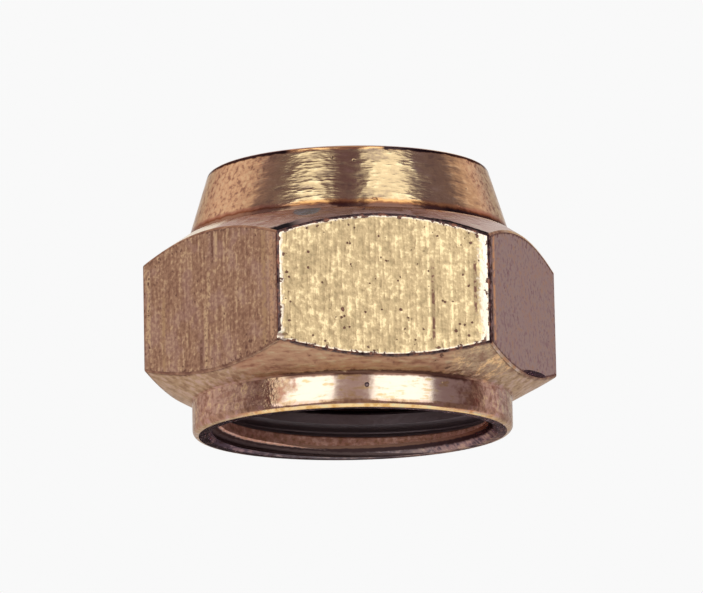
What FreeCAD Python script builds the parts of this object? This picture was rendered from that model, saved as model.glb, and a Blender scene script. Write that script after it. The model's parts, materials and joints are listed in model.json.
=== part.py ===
import FreeCAD, Part
import os

import Sketcher

# Brass flare nut for half-inch tube, turned from drawn hexagon bar.
# The origin is the centre of the threaded mouth. +Z runs along the axis to the neck.
# Two flats of the hexagon face +Y and -Y, and two corners lie on the X axis.
# Lengths are in millimetres and angles in degrees.

SIZES = [
    # Hexagon bar
    ("across_flats", 24.0),
    ("overall_height", 17.45),
    ("bar_corner_round", 0.2),
    # Collar round the threaded mouth
    ("collar_diameter", 21.12),
    ("collar_height", 2.25),
    ("collar_edge_round", 0.4),
    # Turned chamfers at the two ends of the hexagon, from the horizontal
    ("lower_chamfer_slope", 28.5),
    ("upper_chamfer_slope", 34.0),
    # Tapered neck round the tube
    ("neck_base_diameter", 21.2),
    ("neck_base_height", 13.25),
    ("neck_top_diameter", 18.6),
    ("neck_edge_round", 0.2),
    # Undercut that the turning tool leaves at the foot of the neck
    ("undercut_width", 0.3),
    ("undercut_depth", 0.35),
    # Thread for the mating union, 3/4-16 UNF, as its minor bore
    ("thread_minor_diameter", 17.6),
    ("mouth_diameter", 19.1),
    ("thread_depth", 9.5),
    # Relief at the inner end of the thread
    ("relief_diameter", 19.5),
    ("relief_width", 1.4),
    # Seat that presses on the back of the tube's flare, from the axis
    ("seat_angle", 45.0),
    # Bore for the tube
    ("tube_diameter", 12.7),
    ("tube_clearance", 0.16),
    ("bore_chamfer", 0.3),
]

# How far a turning profile reaches past the metal that it removes
OVERRUN = 2.0

# Formulas that several outlines share
CORNER_RADIUS = "sizes.across_flats / 2 / cos(30)"
OUTSIDE = f"({CORNER_RADIUS} + {OVERRUN})"

doc = FreeCAD.newDocument("FlareNut")


def make_sheet():
    sheet = doc.addObject("Spreadsheet::Sheet", "sizes")
    for row, (alias, value) in enumerate(SIZES, start=1):
        sheet.set(f"A{row}", alias)
        sheet.set(f"B{row}", str(value))
        sheet.setAlias(f"B{row}", alias)
    doc.recompute()
    return sheet


def number(formula):
    """What a formula comes to with the sizes in the sheet."""
    return float(sheet.evalExpression(formula))


def new_sketch(body, name, plane):
    sketch = body.newObject("Sketcher::SketchObject", name)
    for feature in body.Origin.OriginFeatures:
        if feature.Role == plane:
            sketch.AttachmentSupport = [(feature, "")]
    sketch.MapMode = "FlatFace"
    return sketch


def tie(sketch, name, formula, kind, *places):
    """A dimension of the sketch that follows a formula."""
    index = sketch.addConstraint(Sketcher.Constraint(kind, *places, number(formula)))
    sketch.renameConstraint(index, name)
    sketch.setExpression(f"Constraints.{name}", formula)


def close_loop(sketch, points):
    """Straight lines through the points and back to the first, joined end to end."""
    count = len(points)
    for start in range(count):
        line = Part.LineSegment(points[start], points[(start + 1) % count])
        sketch.addGeometry(line, False)
    for start in range(count):
        after = (start + 1) % count
        sketch.addConstraint(Sketcher.Constraint("Coincident", start, 2, after, 1))


def profile(body, name, corners):
    """A closed outline in the XZ plane. Each corner is a name, a radius and a height."""
    sketch = new_sketch(body, name, "XZ_Plane")
    points = [
        FreeCAD.Vector(number(radius), number(height), 0)
        for _, radius, height in corners
    ]
    close_loop(sketch, points)
    for line, (corner, radius, height) in enumerate(corners):
        if radius == "0":
            sketch.addConstraint(Sketcher.Constraint("PointOnObject", line, 1, -2))
        else:
            tie(sketch, f"{corner}_radius", radius, "DistanceX", -1, 1, line, 1)
        if height == "0":
            sketch.addConstraint(Sketcher.Constraint("PointOnObject", line, 1, -1))
        else:
            tie(sketch, f"{corner}_height", height, "DistanceY", -1, 1, line, 1)
    return sketch


def turn_away(body, sketch, name):
    """Cut the outline's ring of revolution out of the nut."""
    doc.recompute()
    before = body.Shape.Volume
    groove = body.newObject("PartDesign::Groove", name)
    groove.Profile = sketch
    groove.ReferenceAxis = (sketch, ["V_Axis"])
    groove.Angle = 360
    sketch.Visibility = False
    doc.recompute()
    if not body.Shape.Volume < before:
        raise RuntimeError(f"{name} removes nothing")


def round_over(body, name, size, wanted):
    """Round the edges whose curve is wanted."""
    base = body.Tip
    edges = []
    for index, edge in enumerate(base.Shape.Edges, start=1):
        if wanted(edge.Curve):
            edges.append(f"Edge{index}")
    if not edges:
        raise RuntimeError(f"{name} finds no edge")
    fillet = body.newObject("PartDesign::Fillet", name)
    fillet.Base = (base, edges)
    fillet.setExpression("Radius", size)
    doc.recompute()


def round_upright_edges(body, name, size):
    """Round the straight edges that stand parallel to the axis."""

    def upright(curve):
        return isinstance(curve, Part.Line) and abs(curve.Direction.z) > 0.999

    round_over(body, name, size, upright)


def round_rim(body, name, diameter, height, size):
    """Round the circular edge of that diameter at that height."""

    def rim(curve):
        if not isinstance(curve, Part.Circle):
            return False
        same_radius = abs(curve.Radius - number(diameter) / 2) < 1e-4
        same_height = abs(curve.Center.z - number(height)) < 1e-4
        return same_radius and same_height

    round_over(body, name, size, rim)


def hexagon_bar(body):
    """Drawn hexagon bar with its six corners slightly rounded, cut to the nut's height."""
    sketch = new_sketch(body, "hexagon", "XY_Plane")
    corner = number(CORNER_RADIUS)
    axis = FreeCAD.Vector(0, 0, 1)
    points = [
        FreeCAD.Rotation(axis, 60 * side).multVec(FreeCAD.Vector(corner, 0, 0))
        for side in range(6)
    ]
    close_loop(sketch, points)
    circle = sketch.addGeometry(Part.Circle(FreeCAD.Vector(), axis, corner), True)
    sketch.addConstraint(Sketcher.Constraint("Coincident", circle, 3, -1, 1))
    for side in range(6):
        sketch.addConstraint(Sketcher.Constraint("PointOnObject", side, 1, circle))
    for side in range(1, 6):
        sketch.addConstraint(Sketcher.Constraint("Equal", 0, side))
    # Sides 1 and 4 are the flats that face +Y and -Y
    sketch.addConstraint(Sketcher.Constraint("Horizontal", 1))
    tie(sketch, "between_flats", "sizes.across_flats", "DistanceY", 4, 1, 1, 1)
    bar = body.newObject("PartDesign::Pad", "bar")
    bar.Profile = sketch
    bar.setExpression("Length", "sizes.overall_height")
    sketch.Visibility = False
    doc.recompute()
    round_upright_edges(body, "bar_corners", "sizes.bar_corner_round")


def collar(body):
    """Turn the collar and the chamfer above it, out past the corners of the bar."""
    inner = "sizes.collar_diameter / 2"
    rise = f"({OUTSIDE} - {inner}) * tan(sizes.lower_chamfer_slope)"
    corners = [
        ("collar_foot", inner, f"-{OVERRUN}"),
        ("collar_head", inner, "sizes.collar_height"),
        ("chamfer_rim", OUTSIDE, f"sizes.collar_height + {rise}"),
        ("outer_foot", OUTSIDE, f"-{OVERRUN}"),
    ]
    turn_away(body, profile(body, "collar_outline", corners), "collar_turning")
    round_rim(
        body, "collar_edge", "sizes.collar_diameter", "0", "sizes.collar_edge_round"
    )


def neck(body):
    """Turn the tapered neck, the undercut at its foot and the chamfer below it."""
    foot = "sizes.neck_base_diameter / 2"
    foot_height = "sizes.neck_base_height"
    top = "sizes.neck_top_diameter / 2"
    top_height = "sizes.overall_height"
    taper = f"({foot} - {top}) / ({top_height} - {foot_height})"
    slope = "tan(sizes.upper_chamfer_slope)"
    width = "sizes.undercut_width"
    corners = [
        ("undercut_floor", foot, f"{foot_height} - sizes.undercut_depth"),
        ("undercut_lip", f"{foot} + {width}", f"{foot_height} - {width} * {slope}"),
        ("chamfer_rim", OUTSIDE, f"{foot_height} - ({OUTSIDE} - {foot}) * {slope}"),
        ("outer_top", OUTSIDE, f"{top_height} + {OVERRUN}"),
        ("neck_top", f"{top} - {OVERRUN} * {taper}", f"{top_height} + {OVERRUN}"),
        ("neck_foot", foot, foot_height),
    ]
    turn_away(body, profile(body, "neck_outline", corners), "neck_turning")
    round_rim(
        body, "neck_edge", "sizes.neck_top_diameter", top_height, "sizes.neck_edge_round"
    )


def bore(body):
    """Bore the nut right through: mouth, thread, relief, flare seat and tube hole."""
    mouth = "sizes.mouth_diameter / 2"
    minor = "sizes.thread_minor_diameter / 2"
    relief = "sizes.relief_diameter / 2"
    tube = "(sizes.tube_diameter + sizes.tube_clearance) / 2"
    thread_end = "sizes.thread_depth"
    seat_height = "sizes.thread_depth + sizes.relief_width"
    seat_drop = f"({minor} - {tube}) / tan(sizes.seat_angle)"
    top = "sizes.overall_height"
    edge = "sizes.bore_chamfer"
    corners = [
        ("mouth_centre", "0", "0"),
        ("mouth_edge", mouth, "0"),
        ("thread_start", minor, f"{mouth} - {minor}"),
        ("thread_end", minor, thread_end),
        ("relief_start", relief, f"{thread_end} + {relief} - {minor}"),
        ("relief_end", relief, seat_height),
        ("seat_rim", minor, seat_height),
        ("seat_foot", tube, f"{seat_height} + {seat_drop}"),
        ("tube_end", tube, f"{top} - {edge}"),
        ("bore_edge", f"{tube} + {edge}", top),
        ("top_centre", "0", top),
    ]
    turn_away(body, profile(body, "bore_outline", corners), "boring")


def make_flare_nut():
    body = doc.addObject("PartDesign::Body", "flare_nut")
    body.Label = "flare_nut"
    hexagon_bar(body)
    collar(body)
    neck(body)
    bore(body)
    body.Placement = FreeCAD.Placement()
    return body


def check(bodies):
    """Stop if a feature failed or a finished solid isn't sound."""
    doc.recompute()
    for thing in doc.Objects:
        if "Invalid" in thing.State or "Error" in thing.State:
            raise RuntimeError(f"{thing.Name} failed: {thing.State}")
    for body in bodies:
        if body.Shape.isNull() or not body.Shape.isValid():
            raise RuntimeError(f"{body.Label} has no valid shape")


def export(bodies):
    os.makedirs("parts", exist_ok=True)
    for body in bodies:
        body.Shape.exportStep(os.path.join("parts", body.Label + ".step"))
        box = body.Shape.optimalBoundingBox()
        print(
            f"{body.Label}: {box.XLength:.3f} x {box.YLength:.3f} x {box.ZLength:.3f} mm,"
            f" {body.Shape.Volume:.2f} mm3, {len(body.Shape.Solids)} solid"
        )


sheet = make_sheet()
nut = make_flare_nut()
check([nut])
export([nut])
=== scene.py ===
import json
import math

import bpy
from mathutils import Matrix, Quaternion, Vector


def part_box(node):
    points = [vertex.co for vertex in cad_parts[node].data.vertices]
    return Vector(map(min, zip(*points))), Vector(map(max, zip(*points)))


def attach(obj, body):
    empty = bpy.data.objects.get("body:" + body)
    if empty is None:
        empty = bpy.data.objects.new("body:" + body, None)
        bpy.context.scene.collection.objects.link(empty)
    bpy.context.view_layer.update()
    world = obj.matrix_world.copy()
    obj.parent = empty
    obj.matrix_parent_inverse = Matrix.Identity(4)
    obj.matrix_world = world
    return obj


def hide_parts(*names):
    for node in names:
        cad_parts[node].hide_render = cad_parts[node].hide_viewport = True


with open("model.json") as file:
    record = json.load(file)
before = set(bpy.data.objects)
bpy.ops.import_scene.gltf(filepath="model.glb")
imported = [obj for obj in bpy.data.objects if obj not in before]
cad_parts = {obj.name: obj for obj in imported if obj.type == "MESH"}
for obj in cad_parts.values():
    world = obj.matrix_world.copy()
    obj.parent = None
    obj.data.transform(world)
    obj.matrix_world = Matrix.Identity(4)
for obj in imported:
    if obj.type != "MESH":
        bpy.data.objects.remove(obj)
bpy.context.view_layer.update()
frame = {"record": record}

# The nut is modelled in millimetres and brought to metres when it is finished.
MM = 0.001

# Sizes that the frame gives, less a hair that keeps the nut inside the solid's box
HAIR = 0.002
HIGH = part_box("flare_nut")[1] / MM
FLAT_DISTANCE = HIGH.y - HAIR
CORNER_RADIUS = FLAT_DISTANCE / math.cos(math.radians(30))
HALF_FLAT = CORNER_RADIUS / 2
TOP = HIGH.z - HAIR
MOUNTS = {mount["name"]: mount for mount in frame["record"]["mounts"]}
THREAD_MINOR_RADIUS = MOUNTS["thread"]["dims"]["r_mm"]
TUBE_RADIUS = MOUNTS["tube_bore"]["dims"]["r_mm"]

# How far the turned blank reaches past the corners that the flats leave
OVERRUN = 0.6

# Turned outside
COLLAR_RADIUS = 10.56
COLLAR_HEIGHT = 2.25
COLLAR_ROUND = 0.4
LOWER_SLOPE = math.tan(math.radians(28.5))
UPPER_SLOPE = math.tan(math.radians(34.0))
NECK_BASE_RADIUS = 10.6
NECK_BASE_HEIGHT = 13.25
NECK_TOP_RADIUS = 9.3
NECK_ROUND = 0.2
UNDERCUT_WIDTH = 0.3
UNDERCUT_DEPTH = 0.35
INNER_CORNER = 0.08
LIP_ROUND = 0.12

# Bore
MOUTH_RADIUS = 9.55
THREAD_END = 9.5
RELIEF_RADIUS = 9.75
SEAT_HEIGHT = 10.9
BORE_CHAMFER = 0.3

# Thread, 3/4-16 UNF
PITCH = 25.4 / 16
THREAD_MAJOR_RADIUS = 19.05 / 2
FLANK = math.tan(math.radians(30))
ROOT_FLAT = 0.1

# Tap that cuts it: its core's radius, its ends, and its thread's shift along the axis
TAP_CORE_RADIUS = 8.45
TAP_START = -0.6
TAP_END = 10.4
TAP_LEAD = -0.29

# How round things are divided, and the angle in degrees up to which they are shaded smooth
TURNED_STEPS = 192
TAP_STEPS = 144
ARC_STEPS = 6
SMOOTH_ANGLE = 24

# Tolerances: points that are merged, points on a cut, and faces that lie in a flat
MERGED = 1e-4
ON_CUT = 1e-5
ON_FLAT = 0.02

# Upright, steep and level faces, by how far their normal points up
UPRIGHT = 0.01
STEEP = 0.7
LEVEL = 0.999

# Rounded corners of the bar, and the arcs broken by the same width
BAR_ROUND = 0.2
EDGE_BREAK = BAR_ROUND * math.tan(math.radians(30))
EDGE_SEGMENTS = 3

# Knocks that the nut has taken: centre, half sizes, tilt and turn in degrees, and finish
KNOCKS = [
    # Chipped foot of the corner between the front flat and the one on its left
    ((-6.90, -12.42, 4.18), (0.9, 0.6, 0.5), 0, 0, "front"),
    # Long gouge at the foot of the flat on the right
    ((11.49, -4.21, 3.42), (0.25, 2.5, 0.2), 5, -30, "mouth"),
    # Pit in the collar
    ((-0.99, -10.55, 1.39), (0.16, 0.16, 0.16), 0, 0, "mouth"),
]


# Modelling helpers


def select_none():
    for thing in bpy.context.selected_objects:
        thing.select_set(False)


def make_active(thing):
    select_none()
    thing.select_set(True)
    bpy.context.view_layer.objects.active = thing


def edit(thing, mode="VERT"):
    """Open a mesh for editing, by its corners, edges or faces."""
    make_active(thing)
    bpy.ops.object.mode_set(mode="EDIT")
    bpy.ops.mesh.select_mode(type=mode)


def leave():
    """Close the mesh that was open for editing."""
    bpy.ops.object.mode_set(mode="OBJECT")


def arc(centre, radius, start, end):
    """Points of an arc in the section, from one angle to the other, in degrees."""
    points = []
    for step in range(ARC_STEPS + 1):
        angle = math.radians(start + (end - start) * step / ARC_STEPS)
        points.append(
            (centre[0] + radius * math.cos(angle), centre[1] + radius * math.sin(angle))
        )
    return points


def traced(name, section):
    """A line through the section's points, drawn by extruding a single vertex."""
    select_none()
    bpy.ops.mesh.primitive_plane_add(size=1, location=(section[0][0], 0, section[0][1]))
    thing = bpy.context.object
    thing.name = name
    bpy.ops.object.transform_apply(location=True)
    edit(thing)
    bpy.ops.mesh.select_all(action="SELECT")
    bpy.ops.mesh.merge(type="CENTER")
    for before, after in zip(section, section[1:]):
        move = (after[0] - before[0], 0, after[1] - before[1])
        bpy.ops.mesh.extrude_region_move(TRANSFORM_OT_translate={"value": move})
    leave()
    return thing


def turned(thing, steps, rise=0.0, turns=1):
    """Revolve a traced section about Z, with a rise for each turn."""
    make_active(thing)
    screw = thing.modifiers.new("Turning", "SCREW")
    screw.axis = "Z"
    screw.steps = steps
    screw.render_steps = steps
    screw.screw_offset = rise
    screw.iterations = turns
    screw.use_merge_vertices = rise == 0
    screw.merge_threshold = MERGED
    bpy.ops.object.modifier_apply(modifier=screw.name)
    edit(thing)
    bpy.ops.mesh.select_all(action="SELECT")
    bpy.ops.mesh.remove_doubles(threshold=MERGED)
    leave()
    return thing


def cut_off(thing, point, normal):
    """Remove what lies past a plane and close the cut."""
    edit(thing)
    bpy.ops.mesh.select_all(action="SELECT")
    bpy.ops.mesh.bisect(
        plane_co=point,
        plane_no=normal,
        use_fill=True,
        clear_outer=True,
        threshold=ON_CUT,
    )
    leave()


def face_outwards(thing):
    edit(thing)
    bpy.ops.mesh.select_all(action="SELECT")
    bpy.ops.mesh.normals_make_consistent(inside=False)
    leave()


def subtract(thing, cutter, finish):
    """Cut a closed shape out of the thing and remove it. The cut takes that finish."""
    cutter.data.materials.append(finish)
    make_active(thing)
    cut = thing.modifiers.new("Cut", "BOOLEAN")
    cut.operation = "DIFFERENCE"
    cut.solver = "EXACT"
    cut.material_mode = "TRANSFER"
    cut.object = cutter
    bpy.ops.object.modifier_apply(modifier=cut.name)
    bpy.data.objects.remove(cutter)


# The nut


def nut_section():
    """The whole section, from the mouth round the outside to the top and down the bore."""
    outside = CORNER_RADIUS + OVERRUN
    lower_rim = COLLAR_HEIGHT + (outside - COLLAR_RADIUS) * LOWER_SLOPE
    upper_rim = NECK_BASE_HEIGHT - (outside - NECK_BASE_RADIUS) * UPPER_SLOPE
    lip = NECK_BASE_RADIUS + UNDERCUT_WIDTH
    lip_height = NECK_BASE_HEIGHT - (UNDERCUT_WIDTH + LIP_ROUND) * UPPER_SLOPE
    crest_height = NECK_BASE_HEIGHT - (UNDERCUT_WIDTH + LIP_ROUND / 4) * UPPER_SLOPE
    taper = math.degrees(
        math.atan2(NECK_BASE_RADIUS - NECK_TOP_RADIUS, TOP - NECK_BASE_HEIGHT)
    )
    round_reach = NECK_ROUND * math.tan(math.radians((90 - taper) / 2))
    relief_start = THREAD_END + RELIEF_RADIUS - THREAD_MINOR_RADIUS
    seat_foot = SEAT_HEIGHT + THREAD_MINOR_RADIUS - TUBE_RADIUS
    section = [(MOUTH_RADIUS, 0)]
    # Collar and the chamfer above it
    section += arc(
        (COLLAR_RADIUS - COLLAR_ROUND, COLLAR_ROUND), COLLAR_ROUND, -90, 0
    )
    section += [
        (COLLAR_RADIUS, COLLAR_HEIGHT - INNER_CORNER),
        (COLLAR_RADIUS + INNER_CORNER, COLLAR_HEIGHT + INNER_CORNER * LOWER_SLOPE),
        (outside, lower_rim),
        (outside, upper_rim),
        # Lip of the undercut, its floor and the foot of the neck
        (lip + LIP_ROUND, lip_height),
        (lip, crest_height),
        (lip - LIP_ROUND / 2, lip_height),
        (NECK_BASE_RADIUS, NECK_BASE_HEIGHT - UNDERCUT_DEPTH),
        (NECK_BASE_RADIUS, NECK_BASE_HEIGHT),
    ]
    section += arc(
        (NECK_TOP_RADIUS - round_reach, TOP - NECK_ROUND), NECK_ROUND, taper, 90
    )
    # Bore for the tube, flare seat, relief, thread and countersink
    section += [
        (TUBE_RADIUS + BORE_CHAMFER, TOP),
        (TUBE_RADIUS, TOP - BORE_CHAMFER),
        (TUBE_RADIUS, seat_foot),
        (THREAD_MINOR_RADIUS, SEAT_HEIGHT),
        (RELIEF_RADIUS, SEAT_HEIGHT),
        (RELIEF_RADIUS, relief_start),
        (THREAD_MINOR_RADIUS, THREAD_END),
        (THREAD_MINOR_RADIUS, MOUTH_RADIUS - THREAD_MINOR_RADIUS),
        (MOUTH_RADIUS, 0),
    ]
    return section


def cut_flats(nut):
    """Bring the turned blank to its six flats."""
    for side in range(6):
        angle = math.radians(30 + 60 * side)
        normal = Vector((math.cos(angle), math.sin(angle), 0))
        cut_off(nut, normal * FLAT_DISTANCE, normal)


def is_flat(face):
    """Whether a face is one of the hexagon's flats."""
    reach = face.center.dot(face.normal)
    return abs(face.normal.z) < UPRIGHT and abs(reach - FLAT_DISTANCE) < ON_FLAT


def break_edges(nut, finish):
    """Round the hexagon's corners and the arcs at both its ends, in a finish of their own."""
    edit(nut, "EDGE")
    bpy.ops.mesh.select_all(action="DESELECT")
    leave()
    mesh = nut.data
    flats = {face.index for face in mesh.polygons if is_flat(face)}
    users = {}
    for face in mesh.polygons:
        for key in face.edge_keys:
            users.setdefault(key, []).append(face.index)
    for edge in mesh.edges:
        edge.select = any(face in flats for face in users[edge.key])
    bpy.ops.object.mode_set(mode="EDIT")
    bpy.ops.mesh.bevel(
        offset=EDGE_BREAK, segments=EDGE_SEGMENTS, profile=0.5, material=finish
    )
    leave()


def make_tap():
    """The thread as a solid, a little longer than the thread that it cuts."""
    rise = (THREAD_MAJOR_RADIUS - TAP_CORE_RADIUS) * FLANK
    section = [
        (TAP_CORE_RADIUS, 0),
        (THREAD_MAJOR_RADIUS, rise),
        (THREAD_MAJOR_RADIUS, rise + ROOT_FLAT),
        (TAP_CORE_RADIUS, 2 * rise + ROOT_FLAT),
        (TAP_CORE_RADIUS, PITCH),
    ]
    first = TAP_START + TAP_LEAD - 2 * PITCH
    section = [(radius, first + height) for radius, height in section]
    turns = math.ceil((TAP_END - first) / PITCH) + 2
    tap = turned(traced("tap", section), TAP_STEPS, PITCH, turns)
    cut_off(tap, (0, 0, TAP_START), (0, 0, -1))
    cut_off(tap, (0, 0, TAP_END), (0, 0, 1))
    face_outwards(tap)
    return tap


def make_knock(centre, half_sizes, tilt, turn):
    """A rounded lump that leaves its mark in the nut's surface."""
    select_none()
    bpy.ops.mesh.primitive_ico_sphere_add(
        subdivisions=4,
        radius=1,
        location=centre,
        rotation=(math.radians(tilt), 0, math.radians(turn)),
        scale=half_sizes,
    )
    return bpy.context.object


def make_nut(finishes):
    """Turn the blank, cut its flats, break its edges, tap it and knock it about."""
    nut = turned(traced("nut", nut_section()), TURNED_STEPS)
    face_outwards(nut)
    # Half a step round, so that no corner of the hexagon falls on a line of the mesh
    nut.rotation_euler.z = math.pi / TURNED_STEPS
    make_active(nut)
    bpy.ops.object.transform_apply(rotation=True)
    for material in finishes.values():
        nut.data.materials.append(material)
    cut_flats(nut)
    dress(nut, finishes)
    break_edges(nut, list(finishes).index("edge"))
    subtract(nut, make_tap(), finishes["bore"])
    for *shape, finish in KNOCKS:
        subtract(nut, make_knock(*shape), finishes[finish])
    nut.name = "turned_flare_nut"
    return nut


def finish_nut(nut):
    """Bring the nut to metres, shade it, and let it stand for the plain solid."""
    edit(nut)
    bpy.ops.mesh.select_all(action="SELECT")
    bpy.ops.transform.resize(value=(MM, MM, MM), center_override=(0, 0, 0))
    leave()
    make_active(nut)
    bpy.ops.object.shade_smooth_by_angle(angle=math.radians(SMOOTH_ANGLE))
    weighting = nut.modifiers.new("Flats stay flat", "WEIGHTED_NORMAL")
    weighting.keep_sharp = True
    bpy.ops.object.modifier_apply(modifier=weighting.name)
    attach(nut, "root")
    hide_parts("flare_nut")


# Materials

# Tint of tarnished brass that is seen edge-on, and of the shoulder, which is cleaner
HAZE = (0.60, 0.50, 0.45, 1)
SHOULDER_HAZE = (0.90, 0.82, 0.78, 1)

# Middle of what a noise gives
MIDDLE = 0.5

# Sockets of a Mix node that are for colours
MIX_LOW = 6
MIX_HIGH = 7
MIX_RESULT = 2


class Value:
    """A socket that Python's operators work on, each adding its Math node."""

    def __init__(self, nodes, socket):
        self.nodes = nodes
        self.socket = socket

    def maths(self, operation, *others):
        inputs = {0: self}
        for place, other in enumerate(others, start=1):
            inputs[place] = other
        return self.nodes.add("ShaderNodeMath", {"operation": operation}, inputs)

    def __add__(self, other):
        return self.maths("ADD", other)

    __radd__ = __add__

    def __mul__(self, other):
        return self.maths("MULTIPLY", other)

    __rmul__ = __mul__

    def __sub__(self, other):
        return self.maths("SUBTRACT", other)

    def __rsub__(self, other):
        return self.maths("MULTIPLY", -1) + other


class Nodes:
    """The nodes of one material, each kind added by a method."""

    def __init__(self, name):
        self.material = bpy.data.materials.new(name)
        self.material.use_nodes = True
        self.tree = self.material.node_tree
        self.shader = self.tree.nodes["Principled BSDF"]
        self.edge_on = HAZE
        self.output = self.tree.nodes["Material Output"]

    def put(self, socket, value):
        """Link a socket to a value of the nodes, or set it to a plain one."""
        if isinstance(value, Value):
            self.tree.links.new(value.socket, socket)
        else:
            socket.default_value = value

    def add(self, kind, settings=None, inputs=None, output=0):
        """A node of any kind, its settings put first and then its sockets."""
        node = self.tree.nodes.new(kind)
        for name, value in (settings or {}).items():
            if name == "stops":
                set_stops(node.color_ramp, value)
            else:
                setattr(node, name, value)
        for place, value in (inputs or {}).items():
            self.put(node.inputs[place], value)
        return Value(self, node.outputs[output])

    def split(self, vector):
        node = self.tree.nodes.new("ShaderNodeSeparateXYZ")
        self.put(node.inputs[0], vector)
        return [Value(self, socket) for socket in node.outputs]

    def join(self, x, y, z):
        return self.add("ShaderNodeCombineXYZ", None, {0: x, 1: y, 2: z})

    def noise(self, vector, scale=1.0, detail=2.0, roughness=0.5):
        return self.add(
            "ShaderNodeTexNoise",
            None,
            {"Vector": vector, "Scale": scale, "Detail": detail, "Roughness": roughness},
        )

    def cells(self, vector, scale=1.0):
        """Distance to the nearest of some scattered points."""
        return self.add("ShaderNodeTexVoronoi", None, {"Vector": vector, "Scale": scale})

    def ramp(self, value, stops):
        return self.add("ShaderNodeValToRGB", {"stops": stops}, {0: value})

    def between(self, value, low, high, to_low=0.0, to_high=1.0):
        """The value's range low to high, mapped smoothly and held at its ends."""
        return self.add(
            "ShaderNodeMapRange",
            {"interpolation_type": "SMOOTHSTEP"},
            {0: value, 1: low, 2: high, 3: to_low, 4: to_high},
        )

    def mix(self, mask, low, high):
        """One colour where the mask is 0 and another where it is 1."""
        node = self.tree.nodes.new("ShaderNodeMix")
        node.data_type = "RGBA"
        self.put(node.inputs[0], mask)
        self.put(node.inputs[MIX_LOW], low)
        self.put(node.inputs[MIX_HIGH], high)
        return Value(self, node.outputs[MIX_RESULT])

    def shades(self, value, spread, dull, mean, light):
        """Three tones, from dull to light, over a noise about its middle."""
        tone = self.mix(self.between(value, MIDDLE - spread, MIDDLE), dull, mean)
        return self.mix(self.between(value, MIDDLE, MIDDLE + spread), tone, light)

    def metal(self, tone, roughness, height, metal_share=1.0):
        """Metal: its colour, roughness, relief in millimetres, and its share of metal, which
        black painted shade lowers.
        """
        relief = self.add("ShaderNodeBump", None, {"Height": height, "Distance": MM})
        self.put(self.shader.inputs["Base Color"], tone)
        self.put(self.shader.inputs["Roughness"], roughness)
        self.put(self.shader.inputs["Normal"], relief)
        self.put(self.shader.inputs["Metallic"], metal_share)
        self.shader.inputs["Specular Tint"].default_value = self.edge_on
        self.shader.inputs["Specular IOR Level"].default_value = 0.0
        return self.material


def set_stops(ramp, stops):
    """Give a colour ramp its stops, each a position and a colour."""
    while len(ramp.elements) < len(stops):
        ramp.elements.new(0.5)
    for element, (position, colour) in zip(ramp.elements, stops):
        element.position = position
        element.color = colour


class Place:
    """Where a point lies on the nut, in millimetres."""

    def __init__(self, nodes):
        coordinates = nodes.add("ShaderNodeTexCoord", output="Object")
        self.vector = nodes.add(
            "ShaderNodeVectorMath",
            {"operation": "SCALE"},
            {0: coordinates, "Scale": 1 / MM},
        )
        self.x, self.y, self.z = nodes.split(self.vector)
        self.radius = (self.x * self.x + self.y * self.y).maths("SQRT")
        # The angle from the middle of the nearest flat
        side = math.radians(60)
        angle = self.y.maths("ARCTAN2", self.x)
        folded = (angle + math.tau).maths("MODULO", side) - side / 2
        # How far out the point is towards that flat, and how far to its right
        self.reach = self.radius * folded.maths("COSINE")
        self.along = self.radius * folded.maths("SINE")
        # Distances from the arc above the flat, the arc below it and its corner
        upper_arc = NECK_BASE_HEIGHT - (self.radius - NECK_BASE_RADIUS) * UPPER_SLOPE
        lower_arc = COLLAR_HEIGHT + (self.radius - COLLAR_RADIUS) * LOWER_SLOPE
        self.under_arc = upper_arc - self.z
        self.over_arc = self.z - lower_arc
        from_corner = HALF_FLAT - self.along.maths("ABSOLUTE")
        arcs = self.under_arc.maths("MINIMUM", self.over_arc)
        self.from_rim = arcs.maths("MINIMUM", from_corner)


# Middle of a painted blue-grey glint on the shoulder
GLINT_CENTRE = (-4.61, -10.20, 12.85)

# Tones of the brass, from a worn edge to the dirt in a pit, some of them also painted
# highlight and painted shade
WORN_AND_HIGHLIT = (0.96, 0.91, 0.72, 1)
PEACH = (0.88, 0.72, 0.50, 1)
HONEY = (0.98, 0.68, 0.34, 1)
AMBER = (0.78, 0.46, 0.17, 1)
CREAM = (0.86, 0.74, 0.42, 1)
POLISHED = (0.79, 0.70, 0.56, 1)
SATIN = (0.66, 0.52, 0.28, 1)
GOLDEN = (0.78, 0.60, 0.34, 1)
STRAW = (0.56, 0.455, 0.25, 1)
TAN = (0.56, 0.41, 0.25, 1)
OLIVE = (0.43, 0.35, 0.19, 1)
KHAKI = (0.42, 0.32, 0.20, 1)
BROWN = (0.40, 0.27, 0.17, 1)
BARK = (0.28, 0.18, 0.12, 1)
ORANGE = (0.93, 0.58, 0.26, 1)
SHELL = (0.86, 0.60, 0.47, 1)
TERRACOTTA = (0.68, 0.40, 0.29, 1)
COPPERY = (0.50, 0.29, 0.18, 1)
CLAY = (0.66, 0.50, 0.38, 1)
TAWNY = (0.66, 0.52, 0.36, 1)
GREIGE = (0.54, 0.47, 0.38, 1)
ROSY = (0.52, 0.38, 0.32, 1)
DUSKY = (0.42, 0.31, 0.28, 1)
MAUVE = (0.32, 0.21, 0.19, 1)
RUST = (0.34, 0.17, 0.11, 1)
CHESTNUT = (0.26, 0.11, 0.05, 1)
UMBER = (0.18, 0.10, 0.07, 1)
BLUE_GREY = (0.30, 0.36, 0.42, 1)
IRON = (0.28, 0.25, 0.26, 1)
SLATE = (0.17, 0.14, 0.15, 1)
SOOT_AND_SHADE = (0.12, 0.085, 0.08, 1)
DIRT_AND_SHADE = (0.05, 0.03, 0.03, 1)
SHADE_BLACK = (0.012, 0.009, 0.01, 1)


# Grain of a drawn flat: its scale across and along the axis
GRAIN_ACROSS = 4.0
GRAIN_ALONG = 0.35

# Share of broad clouds in the shade of a flat
CLOUD_SHARE = 0.2


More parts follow.
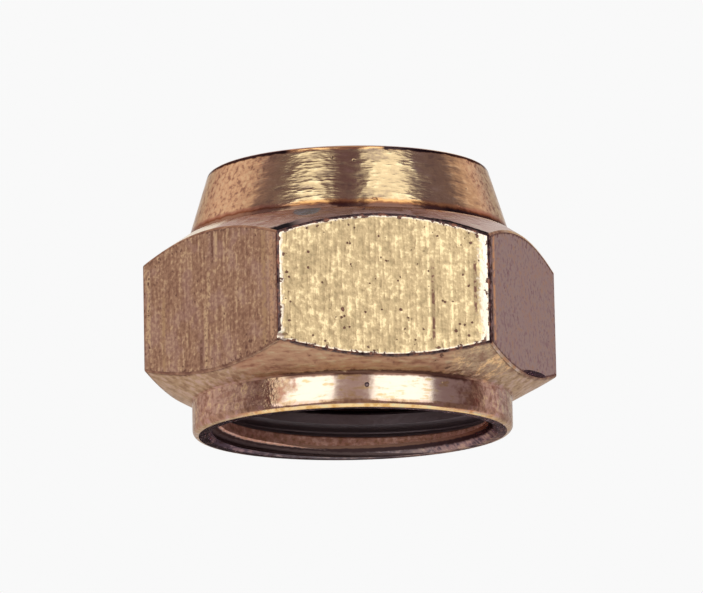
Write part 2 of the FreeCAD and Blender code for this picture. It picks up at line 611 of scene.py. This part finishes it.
def put_lines(nodes, place, tone, uneven, lines):
    """Lay broken lines along the axis over a flat.

    Each is its place across the flat, its lowest and highest point, its width and its tone.
    """
    strength = nodes.between(uneven, -0.08, 0.02, 0.2, 1.0)
    for along, low, high, width, ink in lines:
        across = (place.along - along).maths("ABSOLUTE") + uneven * width
        ends = (place.z - low).maths("MINIMUM", high - place.z) + uneven * 3
        mark = nodes.between(across, width, width / 3) * nodes.between(ends, 0, 1)
        tone = nodes.mix(mark * strength, tone, ink)
    return tone


def rim_shares(place, arc_width, left_width, right_width):
    """Distance from a flat's arcs and corners, in shares of the rim's widths there."""
    shares = place.under_arc.maths("MINIMUM", place.over_arc) * (1 / arc_width)
    for side, width in ((1, left_width), (-1, right_width)):
        if width:
            from_side = (HALF_FLAT + place.along * side) * (1 / width)
            shares = shares.maths("MINIMUM", from_side)
    return shares


def find_pits(nodes, place, uneven, shares):
    """Small pits of all sizes, most of them just inside the rim, and dark bites into it."""
    crowding = nodes.noise(place.vector, 0.9, 2.0, 0.6) - MIDDLE
    pits = nodes.cells(place.vector, 2.6) + crowding * 1.2 + uneven * 0.6
    pits = pits + nodes.between(place.from_rim, 0.3, 1.2, -0.12, 0.0)
    pits = pits + nodes.between(shares, 1.0, 0.8, 0.0, 0.5)
    bites = nodes.between(place.from_rim + uneven * 1.4, 0.08, 0.0)
    return nodes.between(pits, 0.05, -0.03).maths("MAXIMUM", bites)


def drawn_brass(name, tones, scale, spread, grain_share, rim, roughness, lines=(), rosy=0.0):
    """A drawn flat: blotches, grain along the axis, lines, pits and a ragged rim.

    The rim is its tone and its widths at the arcs, at the left and at the right corner; a
    bright rim is partly a painted highlight, and a dark one painted shade.
    """
    dull, mean, light, pit = tones
    rim_tone, *rim_widths = rim
    nodes = Nodes(name)
    place = Place(nodes)
    blotches = nodes.noise(place.vector, scale, 3.0, 0.6)
    uneven = blotches - MIDDLE
    clouds = nodes.noise(place.vector, 0.6, 2.0, 0.5)
    drawn_out = nodes.join(
        place.x * GRAIN_ACROSS, place.y * GRAIN_ACROSS, place.z * GRAIN_ALONG
    )
    grain = nodes.noise(drawn_out, 1.0, 2.0, 0.5)
    shade = blotches * (1 - CLOUD_SHARE - grain_share) + grain * grain_share
    shade = shade + clouds * CLOUD_SHARE
    tone = nodes.shades(shade, spread, dull, mean, light)
    # Rosy patches in the tarnish
    tone = nodes.mix(nodes.between(clouds, 0.45, 0.6, 0.0, rosy), tone, ROSY)
    tone = put_lines(nodes, place, tone, uneven, lines)
    shares = rim_shares(place, *rim_widths)
    tone = nodes.mix(nodes.between(shares + uneven * 1.8, 1.15, 0.6), tone, rim_tone)
    pitted = find_pits(nodes, place, uneven, shares)
    tone = nodes.mix(pitted, tone, pit)
    gloss = nodes.between(shade, 0.42, 0.58, roughness + 0.08, roughness)
    height = blotches * 0.03 + grain * (0.06 * grain_share) - pitted * 0.03
    return nodes.metal(tone, gloss, height)


def turned_rings(nodes, place, lean, rate, waver):
    """Noise in rings round the axis, which follow height and lean times the radius.

    The rate is how close they lie, and the waver how fast they change on their way round.
    """
    feed = place.z + place.radius * lean
    turning = nodes.join(place.x * waver, place.y * waver, feed * rate)
    return nodes.noise(turning, 1.0, 2.0, 0.6)


class Skin:
    """Lathe-turned skin: rings round the axis, mottling and a few pits."""

    def __init__(self, name, tones, scale, spread, pit_size=0.2, lean=-1, rate=3.5):
        dull, mean, light, pit = tones
        self.nodes = Nodes(name)
        self.place = Place(self.nodes)
        nodes = self.nodes
        place = self.place
        self.rings = turned_rings(nodes, place, lean, rate, 0.7)
        self.mottle = nodes.noise(place.vector, scale, 4.0, 0.65)
        self.waves = nodes.noise(place.vector, scale, 1.0, 0.4)
        shade = self.mottle * 0.5 + self.rings * 0.5
        self.tone = nodes.shades(shade, spread, dull, mean, light)
        pits = nodes.cells(place.vector, 0.8) + self.mottle * 0.8
        self.pitted = nodes.between(pits, pit_size + 0.28, pit_size + 0.2)
        self.stain_and_paint(self.pitted, pit)
        self.metal_share = 1.0

    def ragged(self, reach):
        """What makes a border ragged, about half that reach to either side."""
        return (self.mottle - MIDDLE) * reach

    def polished_front(self):
        """Where the front of the collar is polished."""
        return self.nodes.between(self.place.y, -8.4, -9)

    # Lays a tone over the skin: stains, and also painted highlight and painted shade
    def stain_and_paint(self, mask, tone):
        self.tone = self.nodes.mix(mask, self.tone, tone)

    def paint_shade(self, mask):
        """Black painted shade, which doesn't shine."""
        self.stain_and_paint(mask, SHADE_BLACK)
        self.metal_share = (1 - mask) * self.metal_share

    def blotch(self, mask, tones, scale, spread):
        """A mottled tone laid over the skin where the mask says: tarnish, and in places
        painted highlight and painted shade.
        """
        patches = self.nodes.noise(self.place.vector, scale, 3.0, 0.65)
        self.stain_and_paint(mask, self.nodes.shades(patches, spread, *tones))

    def finish(self, roughness, ring_depth, wave, scab=0.0):
        """The metal, with how deep its rings, waves and scabs are in millimetres."""
        gloss = self.nodes.between(self.rings, 0.3, 0.7, roughness + 0.1, roughness)
        gloss = gloss + (1 - self.metal_share) * 0.5
        height = self.rings * ring_depth + self.waves * wave + self.mottle * scab
        height = height - self.pitted * 0.02
        return self.nodes.metal(self.tone, gloss, height, self.metal_share)


# In the masks below, the front of the nut is at -Y and its right at +X, in millimetres.


def neck_brass():
    """Satin in front, mottled at the sides and the back, with painted shade at the foot and a
    painted reflection on the top rim.
    """
    skin = Skin("neck_brass", (KHAKI, SATIN, CREAM, UMBER), 1.2, 0.16, rate=2.0)
    nodes = skin.nodes
    between = nodes.between
    place = skin.place
    sides = between(place.y + skin.ragged(1.6), -7.6, -6.4)
    skin.blotch(sides, (BROWN, GOLDEN, CREAM), 2.6, 0.14)
    # Painted shade at the foot of the neck, darker towards the undercut: coppery, orange in
    # front, then chestnut, and darkest in the undercut itself
    above_foot = place.z + skin.ragged(0.4) - NECK_BASE_HEIGHT
    glow = between(above_foot, 0.5, 0.25)
    skin.stain_and_paint(glow, COPPERY)
    skin.stain_and_paint(glow * between(place.y, -8.5, -9.5), AMBER)
    skin.stain_and_paint(between(above_foot, 0.3, 0.1), CHESTNUT)
    undercut_shade = nodes.mix(between(place.x, -7, -4), BROWN, UMBER)
    undercut_shade = nodes.mix(between(place.x, 4, 5), undercut_shade, DIRT_AND_SHADE)
    skin.stain_and_paint(between(above_foot, 0.14, 0), undercut_shade)
    # Painted reflection on the round of the top rim: orange, and dark but for a stretch on
    # the left of the front
    below_rim = TOP - NECK_ROUND - (place.z + skin.ragged(0.4))
    rim = between(below_rim, 0.14, 0.04)
    skin.stain_and_paint(rim, ORANGE)
    from_orange_stretch = (place.x + 2.45).maths("ABSOLUTE") + skin.ragged(1.2)
    skin.stain_and_paint(rim * between(from_orange_stretch, 2.6, 3.2), DIRT_AND_SHADE)
    return skin.finish(0.13, 0.035, 0.028)


def shoulder_brass():
    """Rosy, with painted highlights in places and painted shade along the front flat."""
    skin = Skin("shoulder_brass", (MAUVE, ROSY, GREIGE, DIRT_AND_SHADE), 1.6, 0.16)
    skin.nodes.edge_on = SHOULDER_HAZE
    between = skin.nodes.between
    place = skin.place
    ragged = skin.ragged(0.5)
    # Painted highlights: on the lip beside the undercut, on the right, and at the far left
    lip = NECK_BASE_RADIUS + UNDERCUT_WIDTH + LIP_ROUND
    lit_lip = between(place.radius + skin.ragged(0.15) - lip, 0.2, 0.05)
    skin.stain_and_paint(lit_lip * between(place.x, 2.5, 4.5), PEACH)
    far_left_highlight = between(place.x, -8.5, -9.5) * between(place.y + ragged, -6.8, -5.8)
    skin.stain_and_paint(far_left_highlight, WORN_AND_HIGHLIT)
    # Darker towards the front flat
    forward = place.y * -1
    front = between(forward, 10.9, 11.5) * between(place.x, 7, 5)
    skin.stain_and_paint(front * 0.75, MAUVE)
    # Painted shade along the front flat, black, wider on the right, with a wedge of it at the
    # left end
    border = between(place.x, 2, 5, 11.82, 11.52)
    skin.paint_shade(between(forward + ragged - border, 0, 0.1))
    wedge = between(place.x, -4.6, -6.2) * between(forward + ragged, 11.1, 11.3)
    skin.paint_shade(wedge)
    # Painted blue-grey glint
    from_glint = skin.nodes.add(
        "ShaderNodeVectorMath", {"operation": "DISTANCE"}, {0: place.vector, 1: GLINT_CENTRE}, 1
    )
    skin.stain_and_paint(between(from_glint + ragged, 0.95, 0.75), BLUE_GREY)
    return skin.finish(0.22, 0.01, 0.03)


def chamfer_brass():
    """Coppery in front, scabby on the right, with painted shade beside the collar and along
    the flats.
    """
    skin = Skin("chamfer_brass", (RUST, COPPERY, TAN, UMBER), 1.8, 0.16, lean=1, rate=2.5)
    between = skin.nodes.between
    place = skin.place
    # Scabs on the right, with rusty cracks between them
    right = between(place.x, 3.5, 6)
    skin.blotch(right, (BROWN, TAN, HONEY), 1.1, 0.14)
    cracks = between((skin.mottle - 0.53).maths("ABSOLUTE"), 0.014, 0.004)
    skin.stain_and_paint(right * cracks, RUST)
    # Mottled at the sides and the back
    skin.blotch(between(place.y, -8.2, -6.8), (BROWN, TAN, CLAY), 1.6, 0.11)
    # Painted shade in the corner against the polished front of the collar, and along the
    # flats
    beside = between(place.radius + skin.ragged(0.8) - COLLAR_RADIUS, 0.24, 0.1)
    skin.stain_and_paint(beside * skin.polished_front(), UMBER)
    skin.stain_and_paint(between(place.reach + skin.ragged(0.5), 11.75, 11.95), UMBER)
    return skin.finish(0.3, 0.015, 0.03, right * 0.08)


def collar_brass():
    """Polished in front and brown at the sides, with painted shade on the round and under the
    chamfer, and a painted highlight on the lip below.
    """
    tones = (SATIN, POLISHED, POLISHED, UMBER)
    skin = Skin("collar_brass", tones, 0.9, 0.12, pit_size=0.1)
    between = skin.nodes.between
    place = skin.place
    # Brown beside the front, then mottled, with streaks along the turning
    backward = place.y + skin.ragged(3)
    skin.blotch(between(backward, -9.2, -8.4), (RUST, BROWN, TAN), 1.6, 0.12)
    skin.blotch(between(backward, -8.2, -7.2), (BROWN, TAWNY, CREAM), 2.0, 0.15)
    streaks = between(place.y, -9.2, -8.4) * between(skin.rings, 0.52, 0.62, 0.0, 0.4)
    skin.stain_and_paint(streaks, RUST)
    # Painted shade on the round at the foot
    below = between(place.z + skin.ragged(0.15), COLLAR_ROUND + 0.15, COLLAR_ROUND)
    skin.blotch(below, (BROWN, TAN, CLAY), 1.8, 0.14)
    # Painted shade in the corner where the chamfer starts, above the polished front
    head = between(place.z + skin.ragged(0.3), COLLAR_HEIGHT - 0.3, COLLAR_HEIGHT - 0.15)
    skin.stain_and_paint(head * skin.polished_front(), UMBER)
    # Painted highlight on the lip of the front, where the round meets the mouth
    lip = between(place.z + skin.ragged(0.18), 0.22, 0.12) * between(place.y, -5, -7.5)
    skin.blotch(lip, (AMBER, HONEY, CREAM), 1.2, 0.16)
    return skin.finish(0.12, 0.004, 0.02, between(place.y, -9.2, -8, 0.0, 0.1))


def mouth_brass():
    """Ring round the mouth and its countersink, dark even where seen edge-on."""
    skin = Skin("mouth_brass", (SOOT_AND_SHADE, SLATE, DUSKY, DIRT_AND_SHADE), 2.0, 0.14)
    skin.nodes.edge_on = SOOT_AND_SHADE
    between = skin.nodes.between
    place = skin.place
    # Browner on the right
    right = between(place.x, 4, 7) * between(place.y, -2, 2)
    skin.blotch(right, (SLATE, DUSKY, CLAY), 1.4, 0.12)
    # Painted shade where the thread starts: black, and then brown
    outward = place.radius + skin.ragged(0.15)
    skin.stain_and_paint(between(outward, 9.3, 9.15), DIRT_AND_SHADE)
    skin.stain_and_paint(between(outward, 9.0, 8.93), UMBER)
    return skin.finish(0.4, 0.01, 0.05)


def top_brass():
    """Plain turned face at the neck's end."""
    skin = Skin("top_brass", (BROWN, TAN, SATIN, UMBER), 1.4, 0.16, rate=2.5)
    return skin.finish(0.25, 0.02, 0.04)


def edge_brass():
    """Broken edges: brown, with painted shade all round the front flat and a painted
    highlight by the right one.
    """
    nodes = Nodes("edge_brass")
    place = Place(nodes)
    grain = nodes.noise(place.vector, 1.6, 3.0, 0.65)
    tone = nodes.shades(grain, 0.12, BARK, BROWN, TAN)
    # Painted highlight over the right flat, and less of it under it
    above = nodes.between(place.x, 8.0, 9.5) * nodes.between(place.z, 8, 9)
    below = nodes.between(place.x, 10.5, 9.5) * nodes.between(place.z, 5.5, 4.5)
    below = below * nodes.between(place.x, 6.5, 7.5)
    highlit = above.maths("MAXIMUM", below * 0.6)
    tone = nodes.mix(highlit, tone, nodes.shades(grain, 0.15, ORANGE, CREAM, WORN_AND_HIGHLIT))
    # Painted shade all round the front flat
    behind = place.y + (grain - MIDDLE) * 0.3 + FLAT_DISTANCE
    front = nodes.between(behind, 0.22, 0.14)
    tone = nodes.mix(front, tone, nodes.shades(grain, 0.12, DIRT_AND_SHADE, SOOT_AND_SHADE, RUST))
    return nodes.metal(tone, nodes.between(grain, 0.4, 0.6, 0.3, 0.4), grain * 0.05)


def bore_brass():
    """Inside of the nut: bright first turn of the thread and grey next ones, painted light
    and shade, and painted shade in the grooves.
    """
    nodes = Nodes("bore_brass")
    place = Place(nodes)
    mottle = nodes.noise(place.vector, 2.8, 3.0, 0.6)
    rings = turned_rings(nodes, place, -1, 2.5, 0.5)
    plain = nodes.shades(mottle * 0.5 + rings * 0.5, 0.12, BARK, BROWN, TAN)
    # Painted light and shade: the first turn of the thread, by the mouth, bright, and the
    # next ones grey
    bright = nodes.shades(mottle, 0.16, COPPERY, TERRACOTTA, SHELL)
    tone = nodes.mix(nodes.between(place.z, 1.5, 1.8), bright, IRON)
    tone = nodes.mix(nodes.between(place.z, 6.0, 9.0), tone, plain)
    # Painted shade in the grooves, grey but for the first one and those deeper in
    outward = place.radius + (mottle - MIDDLE) * 0.3
    groove_shade = nodes.between(outward - THREAD_MINOR_RADIUS, 0.12, 0.25)
    groove_shade = groove_shade * nodes.between(place.z, THREAD_END, THREAD_END - 0.5)
    tone = nodes.mix(groove_shade, tone, IRON)
    tone = nodes.mix(groove_shade * nodes.between(place.z, 2.8, 3.1), tone, DIRT_AND_SHADE)
    first = nodes.mix(nodes.between(outward, 9.1, 9.3), DIRT_AND_SHADE, SOOT_AND_SHADE)
    tone = nodes.mix(groove_shade * nodes.between(place.z, 1.0, 0.8), tone, first)
    height = mottle * 0.04 + rings * 0.02
    return nodes.metal(tone, nodes.between(place.z, 2.0, 4.0, 0.55, 0.35), height)


# Lines on the flats: place across, lowest and highest point, width in millimetres, tone
FRONT_LINES = [
    (2.9, 4, 12.5, 0.14, CREAM),
    (3.2, 3.5, 9.5, 0.16, UMBER),
    (5.98, 5.5, 10, 0.16, UMBER),
    (4.4, 4, 11, 0.14, CREAM),
    (-1.8, 3.5, 7, 0.14, CREAM),
]
LEFT_LINES = [
    (-6.35, 5, 11, 0.3, CREAM),
    (-4.8, 3, 9, 0.25, SATIN),
    (-0.95, 2.8, 5.6, 0.25, BARK),
    (-0.45, 2.0, 7.8, 0.26, CREAM),
    (-0.1, 7, 10, 0.25, CREAM),
    (0.69, 9.6, 12.5, 0.2, CREAM),
    (0.3, 9.6, 12.8, 0.2, BARK),
    (5.5, 3, 12, 0.35, SATIN),
    (6.25, 3.5, 12, 0.3, GOLDEN),
    # Dark line at the corner with the front flat: painted shade
    (6.86, 2.5, 13, 0.2, RUST),
]
RIGHT_LINES = [
    # Orange line, then a dark band at the corner with the front flat: painted highlight and
    # painted shade
    (-6.0, 2.5, 13, 0.35, ORANGE),
    (-6.8, 2.5, 13, 0.8, DIRT_AND_SHADE),
]


def make_finishes():
    """One finish for each operation and, on the flats, for how far each has tarnished and, in
    part, for how the light falls on each.
    """
    return {
        "edge": edge_brass(),
        "bore": bore_brass(),
        "neck": neck_brass(),
        "shoulder": shoulder_brass(),
        "chamfer": chamfer_brass(),
        "collar": collar_brass(),
        "mouth": mouth_brass(),
        "top": top_brass(),
        "front": drawn_brass(
            "front_flat_brass",
            (OLIVE, STRAW, CREAM, UMBER),
            scale=2.8,
            spread=0.12,
            grain_share=0.3,
            # Bright rim, partly wear and partly a painted highlight, widest at the right
            # corner
            rim=(WORN_AND_HIGHLIT, 0.22, 0.32, 0.7),
            roughness=0.28,
            lines=FRONT_LINES,
        ),
        "left": drawn_brass(
            "left_flat_brass",
            (BROWN, TAN, CREAM, BARK),
            scale=4.0,
            spread=0.095,
            grain_share=0.3,
            # Dark rim along the arcs: painted shade
            rim=(BARK, 0.15, 0, 0),
            roughness=0.36,
            lines=LEFT_LINES,
            rosy=0.4,
        ),
        "right": drawn_brass(
            "right_flat_brass",
            (DUSKY, GREIGE, TAN, MAUVE),
            scale=3.0,
            spread=0.14,
            grain_share=0.0,
            # Dark rim along the arcs: painted shade
            rim=(UMBER, 0.25, 0, 0),
            roughness=0.36,
            lines=RIGHT_LINES,
            rosy=0.2,
        ),
        "back": drawn_brass(
            "back_flat_brass",
            (BROWN, TAN, GOLDEN, BARK),
            scale=2.4,
            spread=0.1,
            grain_share=0.2,
            rim=(SATIN, 0.15, 0.15, 0.15),
            roughness=0.34,
            rosy=0.3,
        ),
    }


# Flats with a finish of their own, by the way that they face, in degrees from +X
OWN_FINISHES = {270: "front", 210: "left", 330: "right"}


def finish_of(face):
    """The name of the finish that a face takes, by where it lies."""
    outward = face.normal.x * face.center.x + face.normal.y * face.center.y
    if is_flat(face):
        facing = math.degrees(math.atan2(face.normal.y, face.normal.x)) % 360
        return OWN_FINISHES.get(round(facing), "back")
    if face.center.z > TOP - HAIR:
        return "top"
    if face.center.z < HAIR:
        return "mouth"
    # The bore, and the level steps in it
    if outward < 0 or abs(face.normal.z) > LEVEL:
        countersink = MOUTH_RADIUS - THREAD_MINOR_RADIUS
        return "mouth" if face.center.z < countersink else "bore"
    if face.center.z < COLLAR_HEIGHT - INNER_CORNER:
        return "collar"
    if face.center.z > NECK_BASE_HEIGHT - UNDERCUT_DEPTH and face.normal.z < STEEP:
        return "neck"
    return "shoulder" if face.normal.z > 0 else "chamfer"


def dress(nut, finishes):
    """Give each face the finish of the operation that made it."""
    order = list(finishes)
    for face in nut.data.polygons:
        face.material_index = order.index(finish_of(face))


# Studio

# Camera of the photograph: below the horizon, looking up at the nut
CAMERA_AZIMUTH = -10.63
CAMERA_ELEVATION = -11.11
CAMERA_ROLL = 1.16
CAMERA_DISTANCE = 0.42975
AIM_HEIGHT = 8.595 * MM
# Pixel of the 703 x 593 frame on which that point lies, and pixels in a metre there
IMAGE_WIDTH = 703
IMAGE_HEIGHT = 593
AIM_PIXEL = (350.3, 306.1)
PIXELS_PER_METRE = 15125.0
SENSOR = 36.0
NEAREST = 0.01
FARTHEST = 20

PALE = (0.947, 0.947, 0.947, 1)

FLOOR_SIZE = 4
FLOOR_COLOUR = (0.86, 0.86, 0.86, 1)
FLOOR_ROUGHNESS = 0.9

# Softboxes: azimuth from the camera and elevation in degrees, width and height in metres,
# lean in degrees and radiance
SOFTBOX_DISTANCE = 0.5
SOFTBOXES = {
    "left_softbox": (-33.8, 11, 0.40, 0.744, -9, 1.3),
    "right_softbox": (35.6, 18, 0.404, 0.708, 3, 1.35),
}

# Warm wall of the studio: azimuth from the camera in degrees, and its colour low and high
WALL_RADIUS = 0.9
WALL_HEIGHT = 3.6
WALL_CENTRE = 0.6
WALL_SIDES = 96
WALL_COLOURS = [
    (-165, PALE, PALE),
    (-140, (0.70, 0.52, 0.60, 1), (0.86, 0.63, 0.66, 1)),
    (-125, (0.73, 0.54, 0.60, 1), (0.90, 0.65, 0.66, 1)),
    (-98, (0.58, 0.44, 0.47, 1), (0.76, 0.54, 0.54, 1)),
    (-88, (0.50, 0.36, 0.38, 1), (0.68, 0.47, 0.46, 1)),
    (-78, (0.30, 0.20, 0.22, 1), (0.28, 0.18, 0.23, 1)),
    (-61, (0.27, 0.18, 0.20, 1), (0.21, 0.14, 0.18, 1)),
    (-8, (0.38, 0.25, 0.25, 1), (0.16, 0.09, 0.14, 1)),
    (12, (0.38, 0.25, 0.25, 1), (0.16, 0.09, 0.14, 1)),
    (60, (0.24, 0.155, 0.17, 1), (0.18, 0.12, 0.19, 1)),
    (95, (0.235, 0.15, 0.165, 1), (0.21, 0.145, 0.19, 1)),
    (112, (0.61, 0.44, 0.50, 1), (0.78, 0.54, 0.53, 1)),
    (125, (0.74, 0.56, 0.66, 1), (0.92, 0.66, 0.67, 1)),
    (141, (0.54, 0.50, 0.68, 1), (0.76, 0.62, 0.74, 1)),
    (165, PALE, PALE),
]
WALL_LOW = 0.25
WALL_HIGH = 0.6
CEILING_COLOUR = (0.63, 0.56, 0.66, 1)


def bearing(azimuth, elevation):
    """The direction at that azimuth from the camera's own front, and elevation."""
    azimuth = math.radians(azimuth)
    elevation = math.radians(elevation)
    return Vector(
        (
            math.sin(azimuth) * math.cos(elevation),
            -math.cos(azimuth) * math.cos(elevation),
            math.sin(elevation),
        )
    )


def make_camera():
    """The camera, turned about its own axis so that the aim keeps its pixel."""
    back = bearing(CAMERA_AZIMUTH, CAMERA_ELEVATION)
    turn = (-back).to_track_quat("-Z", "Y").to_matrix()
    right, up = turn.col[0], turn.col[1]
    roll = math.radians(CAMERA_ROLL)
    right, up = (
        right * math.cos(roll) - up * math.sin(roll),
        right * math.sin(roll) + up * math.cos(roll),
    )
    across = (IMAGE_WIDTH / 2 - AIM_PIXEL[0]) / PIXELS_PER_METRE
    upward = (AIM_PIXEL[1] - IMAGE_HEIGHT / 2) / PIXELS_PER_METRE
    target = Vector((0, 0, AIM_HEIGHT)) + right * across + up * upward
    data = bpy.data.cameras.new("camera")
    data.sensor_width = SENSOR
    data.lens = CAMERA_DISTANCE * PIXELS_PER_METRE / IMAGE_WIDTH * SENSOR
    data.clip_start = NEAREST
    data.clip_end = FARTHEST
    camera = bpy.data.objects.new("camera", data)
    bpy.context.scene.collection.objects.link(camera)
    camera.rotation_mode = "QUATERNION"
    turn.col[0], turn.col[1] = right, up
    camera.rotation_quaternion = turn.to_quaternion()
    camera.location = target + back * CAMERA_DISTANCE
    bpy.context.scene.camera = camera


def softbox(name, azimuth, elevation, width, height, lean, radiance):
    """An oval area light that faces the nut. Radiance 1 shows as white."""
    back = bearing(CAMERA_AZIMUTH + azimuth, elevation)
    data = bpy.data.lights.new(name, "AREA")
    data.shape = "ELLIPSE"
    data.size = width
    data.size_y = height
    data.energy = radiance * math.pi * width * height * math.pi / 4
    light = bpy.data.objects.new(name, data)
    bpy.context.scene.collection.objects.link(light)
    light.rotation_mode = "QUATERNION"
    light.location = Vector((0, 0, AIM_HEIGHT)) + back * SOFTBOX_DISTANCE
    leaning = Quaternion((0, 0, 1), math.radians(lean))
    light.rotation_quaternion = (-back).to_track_quat("-Z", "Y") @ leaning
    light.visible_camera = False


def hide_but_from_metal(backdrop):
    """Leave a piece of the backdrop to mirrors alone."""
    backdrop.visible_camera = False
    backdrop.visible_diffuse = False
    backdrop.visible_shadow = False


def make_wall():
    """The warm wall that the metal mirrors and neither the camera nor the floor sees."""
    select_none()
    bpy.ops.mesh.primitive_cylinder_add(
        vertices=WALL_SIDES,
        radius=WALL_RADIUS,
        depth=WALL_HEIGHT,
        end_fill_type="NOTHING",
        location=(0, 0, WALL_CENTRE),
    )
    wall = bpy.context.object
    wall.name = "studio_wall"
    nodes = Nodes("warm_wall")
    coordinates = nodes.add("ShaderNodeTexCoord", output="Object")
    x, y, z = nodes.split(coordinates)
    azimuth = x.maths("ARCTAN2", y * -1) - math.radians(CAMERA_AZIMUTH)
    turn = azimuth * (1 / math.tau) + 0.5
    bands = []
    for band in (1, 2):
        stops = [(0.5 + row[0] / 360, row[band]) for row in WALL_COLOURS]
        bands.append(nodes.ramp(turn, stops))
    rise = nodes.between(z + WALL_CENTRE, WALL_LOW, WALL_HIGH)
    glow = nodes.add("ShaderNodeEmission", None, {"Color": nodes.mix(rise, *bands)})
    nodes.put(nodes.output.inputs["Surface"], glow)
    wall.data.materials.append(nodes.material)
    hide_but_from_metal(wall)


def make_ceiling():
    """The dim ceiling that closes the wall, seen by the metal alone."""
    select_none()
    bpy.ops.mesh.primitive_circle_add(
        vertices=WALL_SIDES,
        radius=WALL_RADIUS,
        fill_type="NGON",
        location=(0, 0, WALL_CENTRE + WALL_HEIGHT / 2),
    )
    ceiling = bpy.context.object
    ceiling.name = "studio_ceiling"
    nodes = Nodes("dim_ceiling")
    glow = nodes.add("ShaderNodeEmission", None, {"Color": CEILING_COLOUR})
    nodes.put(nodes.output.inputs["Surface"], glow)
    ceiling.data.materials.append(nodes.material)
    hide_but_from_metal(ceiling)


def make_world():
    """A pale backdrop all round, for the eye and for what the metal mirrors."""
    world = bpy.data.worlds.new("studio")
    world.use_nodes = True
    world.node_tree.nodes["Background"].inputs["Color"].default_value = PALE
    bpy.context.scene.world = world


def make_floor():
    """A pale floor that takes the nut's shadow.

    The camera sees through it from below, and the metal from any side.
    """
    select_none()
    bpy.ops.mesh.primitive_plane_add(size=FLOOR_SIZE, location=(0, 0, 0))
    floor = bpy.context.object
    floor.name = "floor"
    nodes = Nodes("pale_floor")
    nodes.shader.inputs["Base Color"].default_value = FLOOR_COLOUR
    nodes.shader.inputs["Roughness"].default_value = FLOOR_ROUGHNESS
    below = nodes.add("ShaderNodeNewGeometry", output="Backfacing")
    camera = nodes.add("ShaderNodeLightPath", output="Is Camera Ray")
    glossy = nodes.add("ShaderNodeLightPath", output="Is Glossy Ray")
    transmitted = nodes.add("ShaderNodeLightPath", output="Is Transmission Ray")
    shadow = nodes.add("ShaderNodeLightPath", output="Is Shadow Ray")
    clear = nodes.add("ShaderNodeBsdfTransparent")
    unseen = (below * camera).maths("MAXIMUM", glossy)
    unseen = unseen.maths("MAXIMUM", transmitted).maths("MAXIMUM", shadow)
    surface = nodes.add(
        "ShaderNodeMixShader",
        None,
        {0: unseen, 1: Value(nodes, nodes.shader.outputs[0]), 2: clear},
    )
    nodes.put(nodes.output.inputs["Surface"], surface)
    floor.data.materials.append(nodes.material)


def make_studio():
    make_camera()
    for name, settings in SOFTBOXES.items():
        softbox(name, *settings)
    make_wall()
    make_ceiling()
    make_world()
    make_floor()
    bpy.context.scene.view_settings.view_transform = "Standard"


finishes = make_finishes()
nut = make_nut(finishes)
finish_nut(nut)
make_studio()
